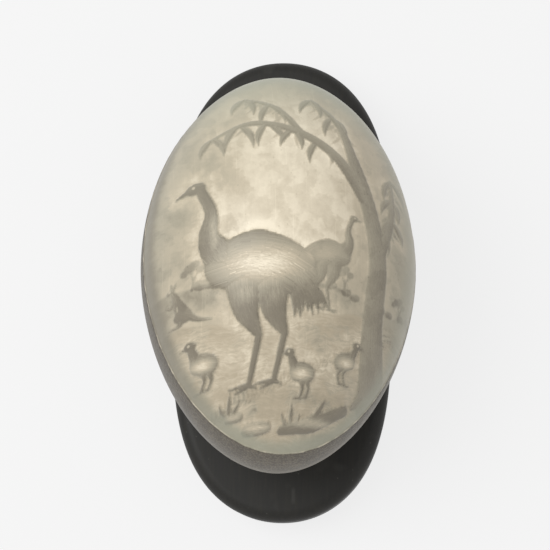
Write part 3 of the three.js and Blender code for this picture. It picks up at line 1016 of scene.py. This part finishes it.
def egg_radius(egg, along, inset):
    """The egg's radius at a place along its axis, its surface moved inwards by an inset."""
    t = along / (egg.half_length - inset)
    shape = np.clip(1 - np.abs(t) ** egg.roundness, 0, 1) ** (1 / egg.roundness)
    return (egg.half_width - inset) * (1 + egg.taper * t) * shape


def seat_edge(egg, stand, top, directions):
    """How far out, in each direction, the seat cuts the top of the base."""
    low = np.zeros(len(directions))
    high = np.full(len(directions), egg.half_length * 0.95)
    drop = egg.centre_height - top
    for _ in range(40):
        middle = (low + high) / 2
        radius = egg_radius(egg, middle * directions[:, 1], -stand.seat_clearance)
        inside = radius ** 2 - (middle * directions[:, 0]) ** 2 > drop ** 2
        low = np.where(inside, middle, low)
        high = np.where(inside, high, middle)
    return low


def ring(flat, height):
    """Points round the base at one height, or each at its own."""
    return np.column_stack([flat, np.broadcast_to(height, len(flat))])


def outer_rings(stand, top):
    """The underside, the eased foot, the side and the rounded top edge."""
    half_width = (stand_high.x - stand_low.x) / 2
    half_length = (stand_high.y - stand_low.y) / 2
    turn = np.arange(stand.sides) * TURN / stand.sides
    plan = np.stack([np.sign(np.cos(turn)) * np.abs(np.cos(turn)) ** (2 / stand.side_power),
                     np.sign(np.sin(turn)) * np.abs(np.sin(turn)) ** (2 / stand.end_power)], 1)

    def outline(inset, height):
        return ring(plan * np.array([half_width - inset, half_length - inset]), height)

    rings = [outline(stand.foot_ease, 0) * (share_out, share_out, 1)
             for share_out in (0.25, 0.5, 0.75, 0.97)]
    for t in np.linspace(0, math.pi / 2, 5):
        rings.append(outline(stand.foot_ease * (1 - math.sin(t)),
                             stand.foot_ease * (1 - math.cos(t))))
    for t in np.linspace(0, math.pi / 2, 13):
        rings.append(outline(stand.top_round * (1 - math.cos(t)),
                             top - stand.top_round * (1 - math.sin(t))))
    return rings


def inner_rings(egg, stand, table, top):
    """The flat top from its outer edge to the lip, the lip and the seat that fits the egg."""
    directions = table / np.linalg.norm(table, axis=1)[:, None]
    edge = seat_edge(egg, stand, top, directions)
    lip_start = directions * (edge + stand.lip)[:, None]
    rings = [ring(table * (1 - t) + lip_start * t, top) for t in np.linspace(0, 1, 9)[1:]]
    for t in (0.35, 0.7):
        rings.append(ring(directions * (edge + stand.lip * (1 - t))[:, None],
                          top - stand.lip * 0.35 * t ** 2))
    for part in np.linspace(0.985, 0.04, 18):
        flat = directions * (edge * part)[:, None]
        radius = egg_radius(egg, flat[:, 1], -stand.seat_clearance)
        depth = np.sqrt(np.clip(radius ** 2 - flat[:, 0] ** 2, 0, None))
        rings.append(ring(flat, egg.centre_height - depth))
    return rings


def stand_mesh(egg, stand):
    """The base, closed by a point in the middle of its underside and of its seat."""
    top = stand_high.z
    rings = outer_rings(stand, top)
    rings += inner_rings(egg, stand, rings[-1][:, :2], top)
    points = np.vstack([*rings, [[0, 0, 0]], [[0, 0, rings[-1][:, 2].mean()]]])
    under, seat = len(points) - 2, len(points) - 1
    last = (len(rings) - 1) * stand.sides
    faces = []
    for side in range(stand.sides):
        ahead = (side + 1) % stand.sides
        faces.append((under, ahead, side))
        faces.append((seat, last + side, last + ahead))
        for number in range(len(rings) - 1):
            low, high = number * stand.sides, (number + 1) * stand.sides
            faces.append((low + side, low + ahead, high + ahead, high + side))
    mesh = bpy.data.meshes.new("stand")
    mesh.from_pydata(points.tolist(), [], faces)
    mesh.polygons.foreach_set("use_smooth", [True] * len(mesh.polygons))
    mesh.update()
    return mesh


# A thin pale streak on the base's top near its -Y end.
PALE_STREAK_FROM_END = 9  # millimetres from the base's -Y end to the middle of the long scuff


def ebonised_finish(stand):
    """Satin black wood with a trace of grain, soft wear, pale specks of dust and a thin pale
    streak.
    """
    finish = Finish("ebonised_wood")
    grain = finish.noise(finish.stretched(finish.place, (900, 60, 900)), 1, 4, 0.6)
    haze = finish.noise(finish.place, 45, 3)
    dust = finish.grains(finish.place, 260)
    specks = 1 - dust.step(0.02, 0.09)
    thin = finish.noise(finish.place, 90, 2).step(0.62, 0.75)
    stain = finish.mix(grain.step(0.35, 0.75) * 0.6, tuple(stand.wood_colour),
                       tuple(stand.grain_colour))
    x, y, _ = finish.split(finish.place)
    # A thin pale streak on the top near the -Y end.
    aside = (x - stand.pale_streak_right) / MM
    beyond = (y - stand_low.y) / MM - PALE_STREAK_FROM_END
    pale_streak = (1 - aside.size().step(0.2, 1.0)) * (1 - beyond.size().step(1.5, 3.5))
    finish.set(
        base_color=finish.mix(specks * 0.16 + thin * 0.05 + pale_streak * 0.08, stain,
                              tuple(stand.dust_and_streak_colour)),
        roughness=stand.roughness + (haze - 0.5) * 0.16 + (grain - 0.5) * 0.1,
        specular_ior_level=stand.sheen,
    )
    finish.bump(grain * 0.6 + haze * 0.4, 0.05 * MM, 0.35)
    return finish.material


class Sculptor(Operator):
    """Shared by the operators that make a piece"""
    bl_options = {"REGISTER", "UNDO"}

    @staticmethod
    def settle(piece, node, slot):
        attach(piece, BODY)
        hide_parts(node)


class EGG_OT_carved_egg(Sculptor):
    """Grow the egg, carve its picture and give it its layered shell"""
    bl_idname = "carved_egg.egg"
    bl_label = "Carved egg"

    def execute(self, context):
        egg = context.scene.emu_egg
        carving = context.scene.emu_carving
        piece = grown("carved_egg", egg_blank_tree(), {
            "Half Length": egg.half_length, "Half Width": egg.half_width,
            "Centre Height": egg.centre_height, "Roundness": egg.roundness,
            "Taper": egg.taper, "Crowding": egg.crowding, "Columns": egg.columns,
            "Rows": egg.rows, "Shell": shell_finish(egg, carving)})
        carve(piece.data, egg, carving)
        self.settle(piece, "egg", "shell")
        return {"FINISHED"}


class EGG_OT_oval_base(Sculptor):
    """Build the black oval base with its dished seat"""
    bl_idname = "carved_egg.base"
    bl_label = "Oval base"

    def execute(self, context):
        stand = context.scene.emu_stand
        mesh = stand_mesh(context.scene.emu_egg, stand)
        mesh.materials.append(ebonised_finish(stand))
        piece = bpy.data.objects.new("oval_base", mesh)
        context.collection.objects.link(piece)
        self.settle(piece, "stand", "ebonised_wood")
        return {"FINISHED"}


class EGG_OT_studio(Operator):
    """Lay the pale floor, light it softly from the left and set the camera above"""
    bl_idname = "carved_egg.studio"
    bl_label = "Studio"

    def execute(self, context):
        studio = context.scene.emu_studio
        middle = Vector((0, 0, context.scene.emu_egg.centre_height))
        self.lay_floor(context, studio)
        self.hang_lights(context, studio, middle)
        self.aim_camera(context, studio, middle)
        context.scene.view_settings.view_transform = "Standard"
        return {"FINISHED"}

    @staticmethod
    def lay_floor(context, studio):
        half = studio.floor_size / 2
        mesh = bpy.data.meshes.new("floor")
        mesh.from_pydata([(-half, -half, 0), (half, -half, 0), (half, half, 0), (-half, half, 0)],
                         [], [(0, 1, 2, 3)])
        finish = Finish("pale_floor")
        finish.set(base_color=scaled(studio.floor_colour, 1 - studio.floor_glow),
                   roughness=0.9, ior=1.0,
                   emission_color=tuple(studio.floor_colour), emission_strength=studio.floor_glow)
        mesh.materials.append(finish.material)
        floor = bpy.data.objects.new("floor", mesh)
        context.collection.objects.link(floor)

    @staticmethod
    def hang_lights(context, studio, middle):
        world = bpy.data.worlds.new("studio_white")
        world.use_nodes = True
        world.node_tree.nodes["Background"].inputs["Color"].default_value = (1, 1, 1, 1)
        world.node_tree.nodes["Background"].inputs["Strength"].default_value = studio.sky
        context.scene.world = world
        light = bpy.data.lights.new("window", "AREA")
        light.shape = "DISK"
        light.size = studio.window_size
        light.energy = studio.key
        lamp = bpy.data.objects.new("window", light)
        lamp.location = middle + Vector(studio.window_place)
        lamp.rotation_euler = (middle - lamp.location).to_track_quat("-Z", "Y").to_euler()
        context.collection.objects.link(lamp)

    @staticmethod
    def aim_camera(context, studio, middle):
        toward = Vector((math.sin(studio.lean), -math.cos(studio.elevation), 0))
        toward.z = math.sqrt(1 - toward.length_squared)
        right = Vector((0, 1, 0)).cross(toward).normalized()
        turned = Matrix((right, toward.cross(right), toward)).transposed()
        turned = turned @ Matrix.Rotation(studio.roll, 3, "Z")
        data = bpy.data.cameras.new("camera")
        frame_size = studio.frame_pixels / (studio.pixels_per_mm / MM)
        data.lens = data.sensor_width * studio.distance / frame_size
        data.shift_x = -studio.egg_right / studio.frame_pixels
        data.shift_y = -studio.egg_above / studio.frame_pixels
        data.clip_start = 0.01
        camera = bpy.data.objects.new("camera", data)
        place = Matrix.Translation(middle + toward * studio.distance)
        camera.matrix_world = place @ turned.to_4x4()
        context.collection.objects.link(camera)
        context.scene.camera = camera


class EGG_PT_workbench(Panel):
    """Sizes and colours of the egg, with a button for each piece"""
    bl_idname = "EGG_PT_workbench"
    bl_label = "Carved egg"
    bl_space_type = "VIEW_3D"
    bl_region_type = "UI"
    bl_category = "Carved Egg"

    def draw(self, context):
        for name, (group, operator) in WORKBENCH.items():
            box = self.layout.box()
            settings = getattr(context.scene, name)
            for field in group.__annotations__:
                box.prop(settings, field)
            if operator:
                box.operator(operator.bl_idname)


WORKBENCH = {
    "emu_egg": (EggSettings, None),
    "emu_carving": (CarvingSettings, EGG_OT_carved_egg),
    "emu_stand": (StandSettings, EGG_OT_oval_base),
    "emu_studio": (StudioSettings, EGG_OT_studio),
}
CLASSES = (EggSettings, CarvingSettings, StandSettings, StudioSettings, EGG_OT_carved_egg,
           EGG_OT_oval_base, EGG_OT_studio, EGG_PT_workbench)


def register():
    for kind in CLASSES:
        bpy.utils.register_class(kind)
    for name, (group, _) in WORKBENCH.items():
        setattr(bpy.types.Scene, name, PointerProperty(type=group))


def unregister():
    for name in WORKBENCH:
        delattr(bpy.types.Scene, name)
    for kind in reversed(CLASSES):
        bpy.utils.unregister_class(kind)


def main():
    register()
    bpy.ops.carved_egg.egg()
    bpy.ops.carved_egg.base()
    bpy.ops.carved_egg.studio()


if __name__ == "__main__":
    main()
